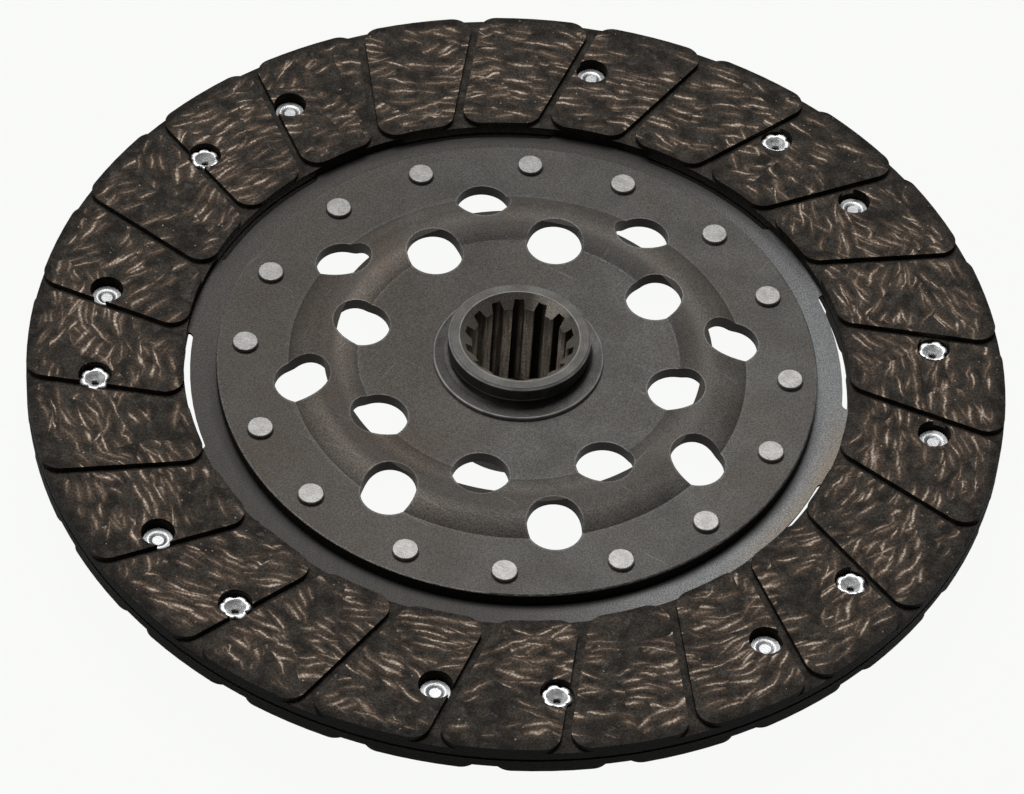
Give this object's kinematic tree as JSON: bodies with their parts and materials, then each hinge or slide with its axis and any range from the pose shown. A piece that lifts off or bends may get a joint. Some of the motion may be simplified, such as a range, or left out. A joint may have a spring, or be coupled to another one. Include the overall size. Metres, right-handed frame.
{
  "type": "clutch disc",
  "caption": "Round friction disc with grooved facings on both sides, a pierced steel centre and a splined hub that slides on a shaft.",
  "frame": {"origin": "on the disc's axis, in the middle plane between the two friction facings", "axes": "+Z along the hub's axis, out of the hub's short end"},
  "size_m": [0.228, 0.228, 0.03],
  "materials": {
    "friction_lining": "pressed fibre lining, dark brown-grey with short tan strands",
    "hub_plate_steel": "dull phosphated sheet steel",
    "spring_steel": "smooth spring steel with faint temper colours",
    "hub_steel": "turned forged steel, dull",
    "plate_rivet_steel": "plain pressed rivet heads",
    "facing_rivet_steel": "bright plated tubular rivets"
  },
  "bodies": {
    "root": {"cushion_plate": "spring_steel", "facing_rivet_down_01": "facing_rivet_steel", "facing_rivet_down_02": "facing_rivet_steel", "facing_rivet_down_03": "facing_rivet_steel", "facing_rivet_down_04": "facing_rivet_steel", "facing_rivet_down_05": "facing_rivet_steel", "facing_rivet_down_06": "facing_rivet_steel", "facing_rivet_down_07": "facing_rivet_steel", "facing_rivet_down_08": "facing_rivet_steel", "facing_rivet_up_01": "facing_rivet_steel", "facing_rivet_up_02": "facing_rivet_steel", "facing_rivet_up_03": "facing_rivet_steel", "facing_rivet_up_04": "facing_rivet_steel", "facing_rivet_up_05": "facing_rivet_steel", "facing_rivet_up_06": "facing_rivet_steel", "facing_rivet_up_07": "facing_rivet_steel", "hub": "hub_steel", "hub_plate": "hub_plate_steel", "lower_facing": "friction_lining", "plate_rivet_01": "plate_rivet_steel", "plate_rivet_02": "plate_rivet_steel", "plate_rivet_03": "plate_rivet_steel", "plate_rivet_04": "plate_rivet_steel", "plate_rivet_05": "plate_rivet_steel", "plate_rivet_06": "plate_rivet_steel", "plate_rivet_07": "plate_rivet_steel", "plate_rivet_08": "plate_rivet_steel", "plate_rivet_09": "plate_rivet_steel", "plate_rivet_10": "plate_rivet_steel", "plate_rivet_11": "plate_rivet_steel", "plate_rivet_12": "plate_rivet_steel", "plate_rivet_13": "plate_rivet_steel", "plate_rivet_14": "plate_rivet_steel", "plate_rivet_15": "plate_rivet_steel", "plate_rivet_16": "plate_rivet_steel", "upper_facing": "friction_lining"}
  },
  "joints": []
}
